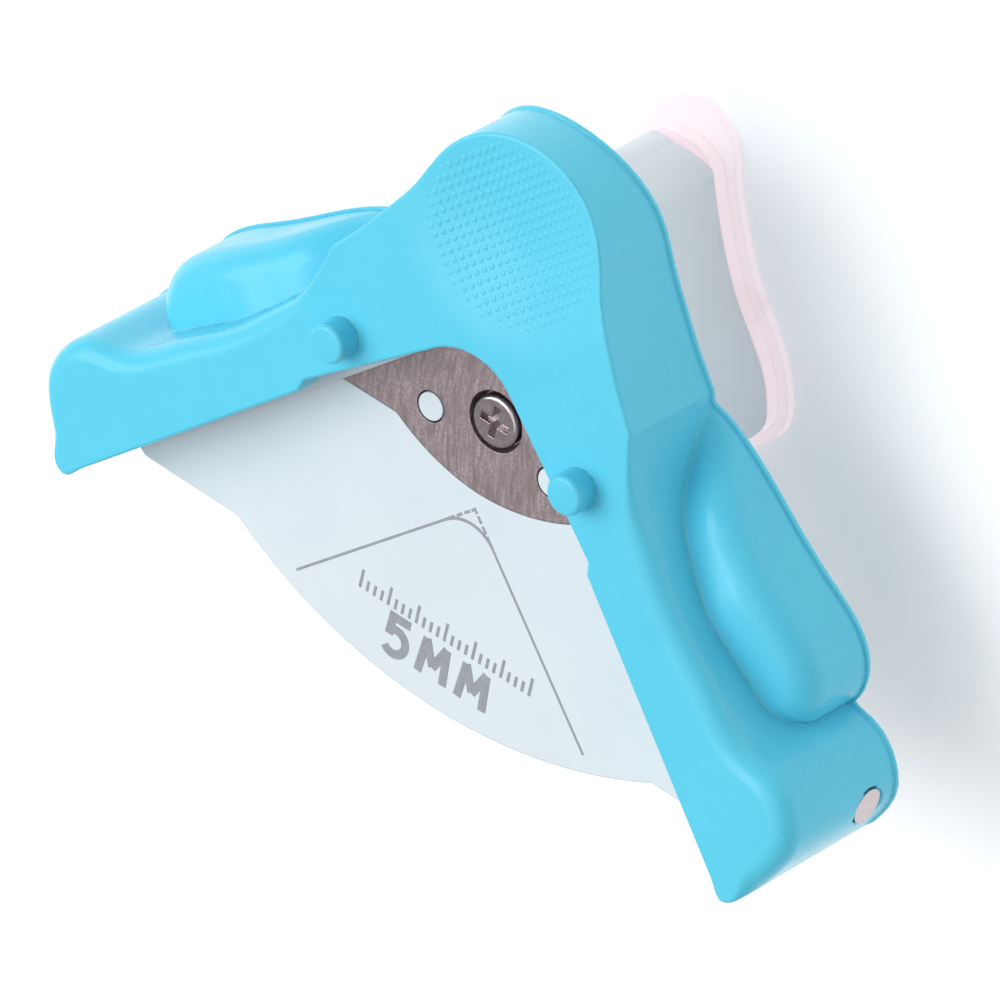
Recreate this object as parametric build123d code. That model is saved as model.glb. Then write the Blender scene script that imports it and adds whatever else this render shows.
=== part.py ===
from build123d import *
import math
import os

# Hand-held corner rounder: a wing-shaped lever, hinged at the tips of its two arms, drives a
# punch down through a steel die plate and rounds the corner of a sheet of paper or card.
#
# Everything is drawn in the tool frame, in millimetres:
#   origin  the point on the bed's top face where the two printed guide lines would cross
#   +X      to the right arm,  +Y  to the thumb pad,  +Z  up, with the bed's top face at z = 0
# The last step moves each piece to the stored frame, whose origin is the middle of the
# object's footprint on the table.

# ---- driving dimensions -------------------------------------------------------------------
HALF_WIDTH = 52.6           # hinge axis direction: middle to the outside of an arm
PAD_TIP_Y = 49.5            # thumb pad's far end
BULGE_Y = -26.2             # front of the bed's curved edge
COVER_BOTTOM = -26.7        # the face that the tool stands on
HINGE_Y = -10.0             # lever hinge axis
HINGE_Z = -6.0
PIN_RADIUS = 2.1
RUNNING_FIT = 0.05          # radial clearance of a turning fit
CORNER_RADIUS = 5.0         # the radius that the punch cuts
PAPER_STOP = 27.6           # |x| + y of the two paper stops
PAPER_GAP = 0.9             # height of the slot that the paper slides in
ROOF_EDGE = 25.7            # |x| + y of the roof's edge above the paper
SWING_DEG = 4.3             # lever travel
PRESS_Y = 28.0              # where the lever pushes the punch

# ---- lever --------------------------------------------------------------------------------
LEVER_WALL = 1.8
TOP_HEIGHT = 8.2            # lever's top face above the bed, at y = 0
TOP_FALL = 0.052            # fall of the top face per millimetre towards the pad
RIM_FRONT = -9.5            # lower edge of the lever at y = -10
RIM_RISE = 0.0627           # rise of the lower edge per millimetre towards the pad
RIM_TURN_Y = 35.0           # from here the lower edge curves up under the thumb pad
RIM_CURVE = 0.015           # its extra rise per square millimetre
LIP_BOTTOM = 4.4            # lower edge of the lever's inner walls, above the paper stops
NOTCH_X = 20.2              # step in the lever's inner edge
THUMB_Y = 40.5              # middle of the thumb dish
THUMB_DEPTH = 1.6
THUMB_BALL = 50.0           # radius of the dish's floor
BOSS_X = 16.6               # spring bosses on the lever
BOSS_Y = 16.0
BOSS_RADIUS = 2.3
BOSS_BORE = 1.7
BOSS_RISE = 3.0
POD_TOP = 2.0               # highest line of the finger pods
POD_ROUND = 3.2             # radius between a pod's top and its outer wall
POD_OUT = 35.4              # a pod's outer wall, square to the arm
POD_DROP = 1.5              # how far the pods hang below the lever's lower edge

# ---- base ---------------------------------------------------------------------------------
BED_THICK = 3.0
BED_REAR = 34.0
STRAIGHT_EDGE_Y = -18.5     # bed's front edge beside the bulge
BULGE_HALF = 29.5
FRAME_TOP = 1.6             # top of the paper stops
ARM_EDGE = 35.0             # |x| + y of the bed's outer edge
BEAM_BOTTOM = -8.0
HOUSING_BOTTOM = -23.6
HOUSING_WALL = 1.4
HOUSING_FRONT = -3.0
FLANGE_TOP = -25.6          # top of the chip cover's flange
FLANGE_OVERHANG = 1.3
COVER_HINGE_Y = -5.0
COVER_HINGE_Z = -24.2
COVER_PIN_RADIUS = 0.8
KNUCKLE_RADIUS = 1.9
KNUCKLE_HALF = 7.0          # half length of the cover's knuckle

# ---- cutting set --------------------------------------------------------------------------
PLATE_THICK = 1.5
PLATE_REAR = 32.8
DIE_FIT = 0.05              # clearance between punch and die
CHUTE_HALF = 6.5            # half width of the bed's opening round the punch's heel
SCREW_Y = 11.6
PEG_X = 8.4
PEG_Y = 8.6
PEG_RADIUS = 1.65
PUNCH_FACE = 1.15           # cutting face at rest
PUNCH_TOP = 4.0
HEEL_HALF = 4.6
HEEL_FRONT = 26.7
HEEL_REAR = 29.6
HEEL_BOTTOM = -8.0
CARRIER_BOTTOM = -13.5
SHELF_TOP = -20.0
SHEET = 1.2                 # bracket sheet thickness
RIVET_X = 3.4
RIVET_Y = 31.75
RIVET_RADIUS = 0.7
PUNCH_SPRING_X = 2.3

FAR = 80.0                  # longer than the tool, for cutting blocks


# ---- helpers ------------------------------------------------------------------------------
def both(half):
    """A shape drawn for +X, joined to its mirror image."""
    return half + mirror(half, about=Plane.YZ)


def slab(face, low, high):
    """Upright prism of a plan face between two heights."""
    return extrude(Pos(0, 0, low) * face, high - low)


def outline(*pieces):
    """Plan face bounded by the given lines and curves."""
    return make_face(Curve() + list(pieces))


def grown(face, amount):
    """Plan faces grown outwards, or inwards if negative, with their free curves redrawn as splines."""
    result = Sketch()
    for part in offset(face, amount).faces():
        edges = []
        for edge in part.outer_wire().edges():
            if edge.geom_type in (GeomType.LINE, GeomType.CIRCLE):
                edges.append(edge)
            else:
                points = [edge @ (i / 10) for i in range(11)]
                edges.append(Spline(*points, tangents=(edge % 0, edge % 1)).edge())
        result += make_face(edges)
    return result


def post(x, y, radius, low, high):
    """Upright round bar between two heights."""
    return Pos(x, y, (low + high) / 2) * Cylinder(radius, high - low)


def cross_bar(y, z, radius, x_low, x_high):
    """Round bar along X."""
    return Pos((x_low + x_high) / 2, y, z) * Rot(0, 90, 0) * Cylinder(radius, x_high - x_low)


def block(x_low, x_high, y_low, y_high, z_low, z_high):
    """Rectangular block between its faces."""
    size = (x_high - x_low, y_high - y_low, z_high - z_low)
    middle = ((x_low + x_high) / 2, (y_low + y_high) / 2, (z_low + z_high) / 2)
    return Pos(*middle) * Box(*size)


def side_prism(points, half_length=FAR):
    """Block with the given (y, z) side view, running across the tool."""
    return extrude(Plane.YZ * make_face(Polyline(*points, close=True)), half_length, both=True)


def top_at(y):
    """Height of the lever's top face, without the thumb dish."""
    return TOP_HEIGHT - TOP_FALL * y


def rim_at(y):
    """Height of the lever's lower edge."""
    return RIM_FRONT + RIM_RISE * (y - HINGE_Y) + RIM_CURVE * max(0, y - RIM_TURN_Y) ** 2


def coil_spring(x, y, low, high, radius, wire, turns):
    """Round-wire compression spring between two heights."""
    height = high - low - wire
    path = Pos(x, y, low + wire / 2) * Helix(height / turns, height, radius)
    section = Plane(path @ 0, z_dir=path % 0) * Circle(wire / 2)
    return sweep(section, path, is_frenet=True)


def pan_screw(x, y, seat, head_radius, head_height, shank_radius, length):
    """Pan-head cross-recess screw driven down, its head's underside at seat."""
    head = Pos(x, y, seat + head_height / 2) * Cylinder(head_radius, head_height)
    head = fillet(head.edges().group_by(Axis.Z)[-1], head_height * 0.25)
    arm = head_radius * 1.25
    slot = head_radius * 0.3
    recess = Box(arm, slot, head_height) + Box(slot, arm, head_height)
    head -= Pos(x, y, seat + head_height) * recess
    return head + post(x, y, shank_radius, seat - length, seat + 0.2)


# ---- plan outlines, drawn for +X ----------------------------------------------------------
def lever_plan():
    """Lever seen from above, without the finger pods."""
    apex_y = 22.9
    apex_radius = 8.0
    apex_turn = math.radians(40.6)      # the bay's sides are a little flatter than the arms
    apex_centre = apex_y - apex_radius
    inner = (apex_radius * math.sin(apex_turn), apex_centre + apex_radius * math.cos(apex_turn))
    step = (NOTCH_X - 0.3, inner[1] - (NOTCH_X - 0.3 - inner[0]) * math.tan(apex_turn))
    pad = Spline(
        (0, PAD_TIP_Y), (6.6, 47.5), (10.7, 42.9), (13.0, 37.3), (15.3, 33.2), (18.1, 28.8), (20.9, 25.0),
        tangents=((1, 0), (0.6, -0.8)),
    )
    cove = Spline(
        (20.9, 25.0), (22.2, 20.0), (26.8, 13.2), (31.6, 7.6), (38.2, 2.3), (44.2, -1.9), (48.8, -3.0),
    )
    tip = Spline(
        (48.8, -3.0), (HALF_WIDTH, -8.0), (50.6, -15.2), (46.2, -19.4), (44.6, -17.6),
        tangents=((0.9, -0.4), (-0.7, 0.7)),
    )
    stretch = Polyline((44.6, -17.6), (NOTCH_X, 27.0 - NOTCH_X), step, inner)
    half_turn = apex_turn / 2
    over = (apex_radius * math.sin(half_turn), apex_centre + apex_radius * math.cos(half_turn))
    bay = ThreePointArc(inner, over, (0, apex_y))
    return outline(pad, cove, tip, stretch, bay, Line((0, apex_y), (0, PAD_TIP_Y)))


def pod_plan():
    """Finger pod seen from above, reaching inside the arm."""
    edge = Spline(
        (20.8, 23.4), (23.4, 22.4), (26.6, 20.6), (35.9, 13.3), (42.6, 8.0), (45.4, 4.2), (46.0, 1.2), (45.3, -1.8),
    )
    return outline(edge, Polyline((45.3, -1.8), (40.0, -5.0), (18.0, 13.5), (16.0, 22.0), (20.8, 23.4)))


def pod_across(lowered):
    """Pod's cross-section, upright and square to the arm: a broad rounding down to the outer wall."""
    unit = math.sqrt(0.5)
    plane = Plane(origin=(0, 0, 0), x_dir=(unit, unit, 0), z_dir=(unit, -unit, 0))
    top = POD_TOP - lowered
    inner = POD_OUT - POD_ROUND
    over = (inner + POD_ROUND * unit, top - POD_ROUND * (1 - unit))
    shape = outline(
        Polyline((18.0, -20.0), (18.0, top - 1.6), (inner, top)),
        ThreePointArc((inner, top), over, (POD_OUT, top - POD_ROUND)),
        Polyline((POD_OUT, top - POD_ROUND), (POD_OUT, -20.0), (18.0, -20.0)),
    )
    return extrude(plane * shape, FAR, both=True)


def pod_along(lowered):
    """Pod's outline along the arm: it falls away to its nose beside the thumb pad."""
    unit = math.sqrt(0.5)
    plane = Plane(origin=(0, 0, 0), x_dir=(unit, -unit, 0), z_dir=(-unit, -unit, 0))
    edge = Spline(
        (-6.0, -5.2 - lowered), (1.0, -3.6 - lowered), (5.0, -1.6 - lowered), (9.0, 0.9 - lowered),
        (14.0, 2.1 - lowered), (20.0, POD_TOP + 0.3 - lowered), (30.0, 1.4 - lowered), (40.0, -0.6 - lowered),
    )
    low = Polyline((40.0, -0.6 - lowered), (40.0, -20.0), (-6.0, -20.0), (-6.0, -5.2 - lowered))
    return extrude(plane * outline(edge, low), FAR, both=True)


def bed_plan():
    """Bed seen from above: curved front edge, an arm to the hinge, and a rear tongue."""
    radius = (BULGE_HALF**2 + (STRAIGHT_EDGE_Y - BULGE_Y) ** 2) / (2 * (STRAIGHT_EDGE_Y - BULGE_Y))
    middle = BULGE_HALF / 2
    middle_y = BULGE_Y + radius - math.sqrt(radius**2 - middle**2)
    bulge = ThreePointArc((0, BULGE_Y), (middle, middle_y), (BULGE_HALF, STRAIGHT_EDGE_Y))
    corner = ThreePointArc((42.2, STRAIGHT_EDGE_Y), (43.5, -18.0), (44.0, -16.7))
    arm = Polyline(
        (44.0, -16.7), (44.0, -13.4), (48.9, -13.4), (48.9, -5.4), (ARM_EDGE + 5.4, -5.4),
        (18.4, ARM_EDGE - 18.4), (18.4, 24.5), (10.5, 29.5), (7.4, BED_REAR), (0, BED_REAR),
    )
    front = Line((BULGE_HALF, STRAIGHT_EDGE_Y), (42.2, STRAIGHT_EDGE_Y))
    return outline(bulge, front, corner, arm, Line((0, BED_REAR), (0, BULGE_Y)))


def housing_plan():
    """Chip housing seen from above: a spade that narrows to the thumb pad's side, with a neck in front."""
    apex = ThreePointArc((0, 39.1), (2.8, 38.7), (4.7, 37.0))
    flank = Spline((4.7, 37.0), (7.7, 30.4), (11.3, 24.5), (16.2, 18.5), (18.1, 14.2))
    shoulder = Spline((18.1, 14.2), (18.0, 11.2), (16.6, 9.2), (14.9, 7.2), (14.6, 4.5))
    front = Polyline((14.6, 4.5), (14.4, 0.0), (12.6, HOUSING_FRONT), (0, HOUSING_FRONT), (0, 39.1))
    return outline(apex, flank, shoulder, front)


def plate_plan():
    """Die plate seen from above: shield shape with a curved middle to its front edge."""
    front_y = 5.5
    half = 12.4
    bulge = ThreePointArc((0, 2.1), (half / 2, 2.97), (half, front_y))
    flank = Polyline((half, front_y), (21.0, front_y), (11.6, 20.6), (11.6, 23.6), (6.6, 28.6))
    rear = Polyline((6.6, 28.6), (6.2, PLATE_REAR), (0, PLATE_REAR), (0, 2.1))
    return outline(bulge, flank, rear)


def punch_plan():
    """Punch seen from above: its hollow front edge is the rounded corner that it leaves."""
    turn = CORNER_RADIUS * math.sqrt(0.5)
    centre_y = PAPER_STOP - CORNER_RADIUS * math.sqrt(2)
    lean = CORNER_RADIUS * math.sin(math.radians(22.5))
    rise = CORNER_RADIUS * math.cos(math.radians(22.5))
    arc = ThreePointArc((0, centre_y + CORNER_RADIUS), (lean, centre_y + rise), (turn, centre_y + turn))
    prong_x = 8.0
    sides = Polyline(
        (turn, centre_y + turn), (prong_x, PAPER_STOP - prong_x), (prong_x + 0.8, PAPER_STOP - prong_x + 0.8),
        (prong_x + 0.8, 22.5), (HEEL_HALF, HEEL_FRONT), (HEEL_HALF, HEEL_REAR), (0, HEEL_REAR),
        (0, centre_y + CORNER_RADIUS),
    )
    return outline(arc, sides)


# ---- pieces -------------------------------------------------------------------------------
def make_lever():
    """Thumb lever: a thin shell, open underneath, with pods, thumb dish, bosses and snap hooks."""
    plan = both(lever_plan())
    end_y = PAD_TIP_Y + 2
    straight = Polyline(
        (RIM_TURN_Y, rim_at(RIM_TURN_Y)), (-FAR, rim_at(-FAR)), (-FAR, top_at(-FAR)),
        (end_y, top_at(end_y)), (end_y, rim_at(end_y)),
    )
    middle_y = (RIM_TURN_Y + end_y) / 2
    curve = Spline(
        (end_y, rim_at(end_y)), (middle_y, rim_at(middle_y)), (RIM_TURN_Y, rim_at(RIM_TURN_Y)),
        tangents=((-1, -RIM_RISE - 2 * RIM_CURVE * (end_y - RIM_TURN_Y)), (-1, -RIM_RISE)),
    )
    side = extrude(Plane.YZ * outline(straight, curve), FAR, both=True)
    shell = slab(plan, -20, 20) & side
    pod = slab(pod_plan(), -20, 20) & pod_across(0) & pod_along(0) & Pos(0, 0, -POD_DROP) * side
    shell += both(pod)
    dish = Pos(0, THUMB_Y + TOP_FALL * THUMB_BALL, top_at(THUMB_Y) - THUMB_DEPTH + THUMB_BALL)
    shell -= dish * Sphere(THUMB_BALL)

    # hollow: the same forms set in by the wall thickness
    wall = LEVER_WALL
    under = side_prism([(-FAR, top_at(-FAR) - wall), (FAR, top_at(FAR) - wall), (FAR, -40), (-FAR, -40)])
    room = slab(grown(plan, -wall), -40, 20) & under
    room -= dish * Sphere(THUMB_BALL + wall)
    shell -= room
    pod_room = slab(grown(pod_plan(), -wall), -40, 20) & pod_across(wall) & pod_along(wall)
    shell -= both(pod_room)

    # the inner walls stop above the paper stops
    reach = PAPER_STOP + 4.6
    bay = outline(Polyline((0, -40), (40 + reach, -40), (0, reach), close=True))
    shell -= slab(both(bay), -40, LIP_BOTTOM)

    for x in (-BOSS_X, BOSS_X):
        boss_top = top_at(BOSS_Y) + BOSS_RISE
        boss = post(x, BOSS_Y, BOSS_RADIUS, top_at(BOSS_Y) - wall, boss_top)
        shell += fillet(boss.edges().group_by(Axis.Z)[-1], 0.7)
        shell -= post(x, BOSS_Y, BOSS_BORE, 0, boss_top - 0.8)

    # snap hooks that stop the lever from rising past rest
    hook = block(19.2, 20.5, 21.3, 24.0, -5.4, 5.6)
    hook += block(17.4, 19.2, 21.3, 24.0, -5.4, -BED_THICK - 0.25)
    shell += both(hook)

    # rib that pushes the punch
    rib_low = PUNCH_TOP + 0.1
    shell += block(-4.0, 4.0, PRESS_Y - 0.7, PRESS_Y + 0.7, rib_low, top_at(PRESS_Y) - wall + 0.3)

    # eyes that turn on the hinge pins
    eye = cross_bar(HINGE_Y, HINGE_Z, PIN_RADIUS + 1.4, 49.7, HALF_WIDTH - 0.6)
    shell += both(eye)
    shell -= both(cross_bar(HINGE_Y, HINGE_Z, PIN_RADIUS + RUNNING_FIT, 40, FAR))
    return shell


def make_bed():
    """White upper base: paper bed, arms with hinge blocks, screw bosses and locating pegs."""
    plan = both(bed_plan())
    bed = slab(plan, -BED_THICK, 0)
    beam = outline(Polyline((43.0, -8.0), (42.0, -13.0), (21.5, 7.5), (21.5, 13.5), close=True))
    hollow = outline(Polyline((41.6, -8.2), (41.6, -11.2), (23.0, 7.4), (23.0, 10.4), close=True))
    rib = slab(beam, BEAM_BOTTOM, -BED_THICK) - slab(hollow, BEAM_BOTTOM, -BED_THICK)
    hinge_block = block(42.4, 48.9, -13.4, -5.4, -9.2, -BED_THICK)
    bed += both(rib)
    bed += both(hinge_block)
    for x, y in guide_screw_places():
        bed += post(x, y, 2.2, BEAM_BOTTOM, -BED_THICK + 0.5)
    for x, y in housing_screw_places():
        bed += post(x, y, 2.3, -9.0, -BED_THICK + 0.5)
    bed += post(0, SCREW_Y, 4.4, -11.0, -BED_THICK + 0.5)

    # pocket for the die plate and, inside it, the chip chute
    gap = 0.1
    bed -= slab(grown(both(plate_plan()), gap), -PLATE_THICK, 1)
    bed += both(post(PEG_X, PEG_Y, PEG_RADIUS, -BED_THICK, 0))
    bed -= block(-10.0, 10.0, 18.4, 25.0, -20, 1)
    bed -= block(-CHUTE_HALF, CHUTE_HALF, 24.0, PLATE_REAR + 0.1, -20, 1)
    bed -= block(-20, 20, PLATE_REAR, 50, -PLATE_THICK, 1)
    bed -= post(0, SCREW_Y, 3.9 + gap, -BED_THICK - 0.1, 1)

    bed -= both(cross_bar(HINGE_Y, HINGE_Z, PIN_RADIUS + 0.02, 42.0, FAR))
    bed -= both(post(BOSS_X, BOSS_Y, BOSS_BORE, -1.5, 1))
    bed -= post(0, SCREW_Y, 1.45, -10.0, 0)
    for x, y in guide_screw_places():
        bed -= post(x, y, 1.0, -7.0, 1)
    for x, y in housing_screw_places():
        bed -= post(x, y, 1.1, -9.5, -4.0)
    return bed


def guide_screw_places():
    """Two screws on each arm of the guide frame."""
    return [(side * x, y) for side in (-1, 1) for x, y in ((25.0, 6.2), (37.5, -6.3))]


def housing_screw_places():
    """Four screws between the housing and the bed."""
    return [(side * x, y) for side in (-1, 1) for x, y in ((10.8, 3.0), (12.6, 16.4))]


def make_guide_frame():
    """White frame on the bed: two paper stops at 90 degrees, and a thin roof over the paper's edges."""
    stop_low = outline(
        Polyline(
            (42.4, PAPER_STOP - 42.4), (9.0, PAPER_STOP - 9.0), (9.2, 22.9), (6.6, 25.6), (9.6, 26.0),
            (16.8, 20.2), (19.6, 18.4), (19.6, 14.8), (42.4, -8.0), close=True,
        )
    )
    bay = 8.0
    centre_y = 14.6
    turn = bay * math.sqrt(0.5)
    half_turn = math.radians(22.5)
    over = (bay * math.sin(half_turn), centre_y + bay * math.cos(half_turn))
    roof = outline(
        ThreePointArc((0, centre_y + bay), over, (turn, centre_y + turn)),
        Polyline(
            (turn, centre_y + turn), (8.6, ROOF_EDGE - 8.6), (42.4, ROOF_EDGE - 42.4),
            (42.4, PAPER_STOP - 41.8), (9.6, PAPER_STOP - 9.0), (9.6, 26.0), (0, 26.0), (0, centre_y + bay),
        ),
    )
    frame = slab(both(stop_low), 0, FRAME_TOP) + slab(both(roof), PAPER_GAP, FRAME_TOP)
    frame -= slab(grown(both(punch_plan()), 0.25), -1, 5)
    frame -= both(post(BOSS_X, BOSS_Y, BOSS_BORE + 0.3, -1, 5))
    for x, y in guide_screw_places():
        frame -= post(x, y, 1.25, -1, 5)
        frame -= post(x, y, 2.1, FRAME_TOP - 0.9, 5)
    return frame


def make_guide_frame_screws():
    """Four small screws, one node."""
    seat = FRAME_TOP - 0.9
    return [pan_screw(x, y, seat, 1.9, 0.85, 1.0, 7.0) for x, y in guide_screw_places()]


def make_die_plate():
    """Steel plate flush with the bed: die opening, peg holes and a dimple for the screw's head."""
    plate = slab(both(plate_plan()), -PLATE_THICK, 0)
    dimple = Pos(0, SCREW_Y, -PLATE_THICK - 0.75) * Cylinder(3.9, 1.5)
    plate += dimple
    plate -= Pos(0, SCREW_Y, -0.8) * Cone(3.2, 3.6, 1.6)
    plate -= post(0, SCREW_Y, 1.6, -10, 1)
    plate -= both(post(PEG_X, PEG_Y, PEG_RADIUS + 0.22, -5, 1))
    plate -= slab(grown(both(punch_plan()), DIE_FIT), -5, 1)
    for x in (-RIVET_X, RIVET_X):
        plate -= post(x, RIVET_Y, RIVET_RADIUS + 0.02, -5, 1)
    return plate


def make_die_plate_screw():
    """Pan-head screw that holds the die plate to the bed."""
    return pan_screw(0, SCREW_Y, -1.6, 3.05, 1.85, 1.4, 8.2)


def make_punch():
    """Hardened punch: short cutting part in front, long heel that never leaves the die."""
    cutter = slab(both(punch_plan()), PUNCH_FACE, PUNCH_TOP)
    heel = block(-HEEL_HALF, HEEL_HALF, HEEL_FRONT, HEEL_REAR, HEEL_BOTTOM, PUNCH_FACE + 1)
    tongue = block(-2.5, 2.5, HEEL_FRONT + 0.7, HEEL_REAR - 0.7, -12.0, HEEL_BOTTOM)
    pin = Pos(0, HEEL_REAR, -10.0) * Rot(90, 0, 0) * Cylinder(0.8, 20)
    return cutter + heel + tongue - pin


def make_punch_carrier():
    """Plastic shoe on the punch's heel; the return springs push up in its pockets."""
    inset = 0.1
    shoe = block(
        -HEEL_HALF + inset, HEEL_HALF - inset, HEEL_FRONT + inset, HEEL_REAR - inset,
        CARRIER_BOTTOM, HEEL_BOTTOM,
    )
    shoe -= block(-2.55, 2.55, HEEL_FRONT + 0.65, HEEL_REAR - 0.65, -12.0, 0)
    shoe -= Pos(0, HEEL_REAR, -10.0) * Rot(90, 0, 0) * Cylinder(0.8, 20)
    return shoe


def make_carrier_pin():
    """Cross pin that joins the carrier to the punch."""
    length = HEEL_REAR - HEEL_FRONT - 0.3
    return Pos(0, (HEEL_FRONT + HEEL_REAR) / 2, -10.0) * Rot(90, 0, 0) * Cylinder(0.78, length)


def make_punch_bracket():
    """Folded steel channel under the die plate: guides the heel and carries the spring shelf."""
    gap = 0.08
    inner = HEEL_HALF + gap
    outer = inner + SHEET - 0.2
    back = HEEL_REAR + gap
    channel = block(-outer, outer, HEEL_FRONT, back + SHEET, SHELF_TOP - SHEET, -PLATE_THICK)
    channel -= block(-inner, inner, 0, back, -40, 0)
    shelf = block(-outer, outer, HEEL_FRONT, back, SHELF_TOP - SHEET, SHELF_TOP)
    flange = block(-outer, outer, back, PLATE_REAR - 0.1, -PLATE_THICK - SHEET, -PLATE_THICK)
    bracket = channel + shelf + flange
    for x in (-RIVET_X, RIVET_X):
        bracket -= post(x, RIVET_Y, RIVET_RADIUS + 0.02, -5, 0)
    for x in (-PUNCH_SPRING_X, PUNCH_SPRING_X):
        bracket += post(x, (HEEL_FRONT + HEEL_REAR) / 2, 0.8, SHELF_TOP, SHELF_TOP + 1.6)
    return bracket


def make_bracket_rivets():
    """Two rivets between the bracket and the die plate."""
    low = -PLATE_THICK - SHEET
    shanks = [post(x, RIVET_Y, RIVET_RADIUS, low, -0.1) for x in (-RIVET_X, RIVET_X)]
    heads = [post(x, RIVET_Y, RIVET_RADIUS + 0.15, low - 0.6, low) for x in (-RIVET_X, RIVET_X)]
    return [shank + head for shank, head in zip(shanks, heads)]


def make_punch_springs():
    """Two return springs side by side under the carrier."""
    middle_y = (HEEL_FRONT + HEEL_REAR) / 2
    return [coil_spring(x, middle_y, SHELF_TOP, CARRIER_BOTTOM, 1.15, 0.35, 7)
            for x in (-PUNCH_SPRING_X, PUNCH_SPRING_X)]


def make_lever_springs():
    """Two springs that lift the lever, standing in the bed and ending inside the bosses."""
    high = top_at(BOSS_Y) + BOSS_RISE - 0.8
    return [coil_spring(x, BOSS_Y, -1.5, high, 1.25, 0.4, 9) for x in (-BOSS_X, BOSS_X)]


def make_hinge_pins():
    """Two steel pins, fixed in the bed's hinge blocks, ending flush with the lever's sides."""
    return [cross_bar(HINGE_Y, HINGE_Z, PIN_RADIUS, low, high)
            for low, high in ((-HALF_WIDTH + 0.15, -42.2), (42.2, HALF_WIDTH - 0.15))]


def make_housing():
    """Grey lower base: open-bottomed box that the chips fall through, with hinge lugs in front."""
    plan = both(housing_plan())
    room = grown(plan, -HOUSING_WALL)
    shell = slab(plan, HOUSING_BOTTOM, -BED_THICK) - slab(room, HOUSING_BOTTOM, -BED_THICK)
    roof_low = -BED_THICK - HOUSING_WALL
    shell += slab(plan, roof_low, -BED_THICK) & block(-20, 20, PLATE_REAR + 0.3, 45, -10, 0)
    for x, y in housing_screw_places():
        shell += post(x, y, 3.4, -12.5, -9.1) & slab(plan, -30, 0)
        shell -= post(x, y, 1.4, -13, -9)

    # thumbnail notch under the apex
    shell -= Pos(0, 39.1, HOUSING_BOTTOM - 5.0) * Rot(90, 0, 0) * Cylinder(6.6, 4)

    lug_inner = KNUCKLE_HALF + 0.3
    lug = cross_bar(COVER_HINGE_Y, COVER_HINGE_Z, KNUCKLE_RADIUS, lug_inner, lug_inner + 2.4)
    lug += block(lug_inner, lug_inner + 2.4, COVER_HINGE_Y, HOUSING_FRONT + 0.3,
                 COVER_HINGE_Z - 0.2, COVER_HINGE_Z + KNUCKLE_RADIUS)
    shell += both(lug)
    shell -= cross_bar(COVER_HINGE_Y, COVER_HINGE_Z, COVER_PIN_RADIUS + 0.01, -20, 20)
    return shell


def make_housing_screws():
    """Four screws driven up through the housing's posts into the bed."""
    screws = []
    for x, y in housing_screw_places():
        screw = pan_screw(0, 0, 0, 2.1, 1.2, 1.05, 8.0)
        screws.append(Pos(x, y, -12.5) * Rot(180, 0, 0) * screw)
    return screws


def make_chip_cover():
    """Clear snap-on tray that closes the housing; its flange makes a tab under the apex."""
    plan = both(housing_plan())
    tab = both(outline(ThreePointArc((0, 43.3), (4.0, 41.4), (6.2, 36.8)),
                       Polyline((6.2, 36.8), (0, 34.0), (0, 43.3))))
    flange = grown(plan, FLANGE_OVERHANG) + tab
    tray = slab(flange, COVER_BOTTOM, FLANGE_TOP)
    room = grown(plan, -HOUSING_WALL)
    seam = HOUSING_BOTTOM - 0.1
    tray += slab(plan, FLANGE_TOP, seam) - slab(room, FLANGE_TOP, seam)
    lip = grown(plan, -HOUSING_WALL - 0.3)
    lip_room = grown(plan, -HOUSING_WALL - 1.3)
    tray += slab(lip, FLANGE_TOP, -22.0) - slab(lip_room, FLANGE_TOP, -22.0)

    # knuckle for the hinge pin, with room round it for the housing's lugs
    lug_room = KNUCKLE_HALF + 0.15
    for side in (-1, 1):
        middle = side * (lug_room + 1.5)
        tray -= Pos(middle, COVER_HINGE_Y, COVER_HINGE_Z) * Box(3.0, 2 * KNUCKLE_RADIUS + 1.2, 6.0)
    knuckle = cross_bar(COVER_HINGE_Y, COVER_HINGE_Z, KNUCKLE_RADIUS, -KNUCKLE_HALF, KNUCKLE_HALF)
    knuckle += block(-KNUCKLE_HALF, KNUCKLE_HALF, COVER_HINGE_Y, HOUSING_FRONT + 0.2, COVER_BOTTOM, seam - 0.5)
    tray += knuckle
    tray -= cross_bar(COVER_HINGE_Y, COVER_HINGE_Z, COVER_PIN_RADIUS + RUNNING_FIT, -20, 20)
    return tray


def make_cover_hinge_pin():
    """Steel rod through the lugs and the cover's knuckle."""
    half = KNUCKLE_HALF + 2.7
    return cross_bar(COVER_HINGE_Y, COVER_HINGE_Z, COVER_PIN_RADIUS, -half, half)


def all_nodes():
    """Every sub-part by the name of its file."""
    punch_springs = make_punch_springs()
    lever_springs = make_lever_springs()
    hinge_pins = make_hinge_pins()
    return {
        "lever": make_lever(),
        "bed": make_bed(),
        "guide_frame": make_guide_frame(),
        "guide_frame_screws": Compound(children=make_guide_frame_screws()),
        "die_plate": make_die_plate(),
        "die_plate_screw": make_die_plate_screw(),
        "punch": make_punch(),
        "punch_carrier": make_punch_carrier(),
        "carrier_pin": make_carrier_pin(),
        "punch_bracket": make_punch_bracket(),
        "bracket_rivets": Compound(children=make_bracket_rivets()),
        "punch_spring_left": punch_springs[0],
        "punch_spring_right": punch_springs[1],
        "lever_spring_left": lever_springs[0],
        "lever_spring_right": lever_springs[1],
        "hinge_pin_left": hinge_pins[0],
        "hinge_pin_right": hinge_pins[1],
        "housing": make_housing(),
        "housing_screws": Compound(children=make_housing_screws()),
        "chip_cover": make_chip_cover(),
        "cover_hinge_pin": make_cover_hinge_pin(),
    }


# ---- stored frame: origin under the middle of the tool, on the table ------------------------
STORED = Pos(0, -(PAD_TIP_Y + BULGE_Y) / 2, -COVER_BOTTOM)

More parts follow.
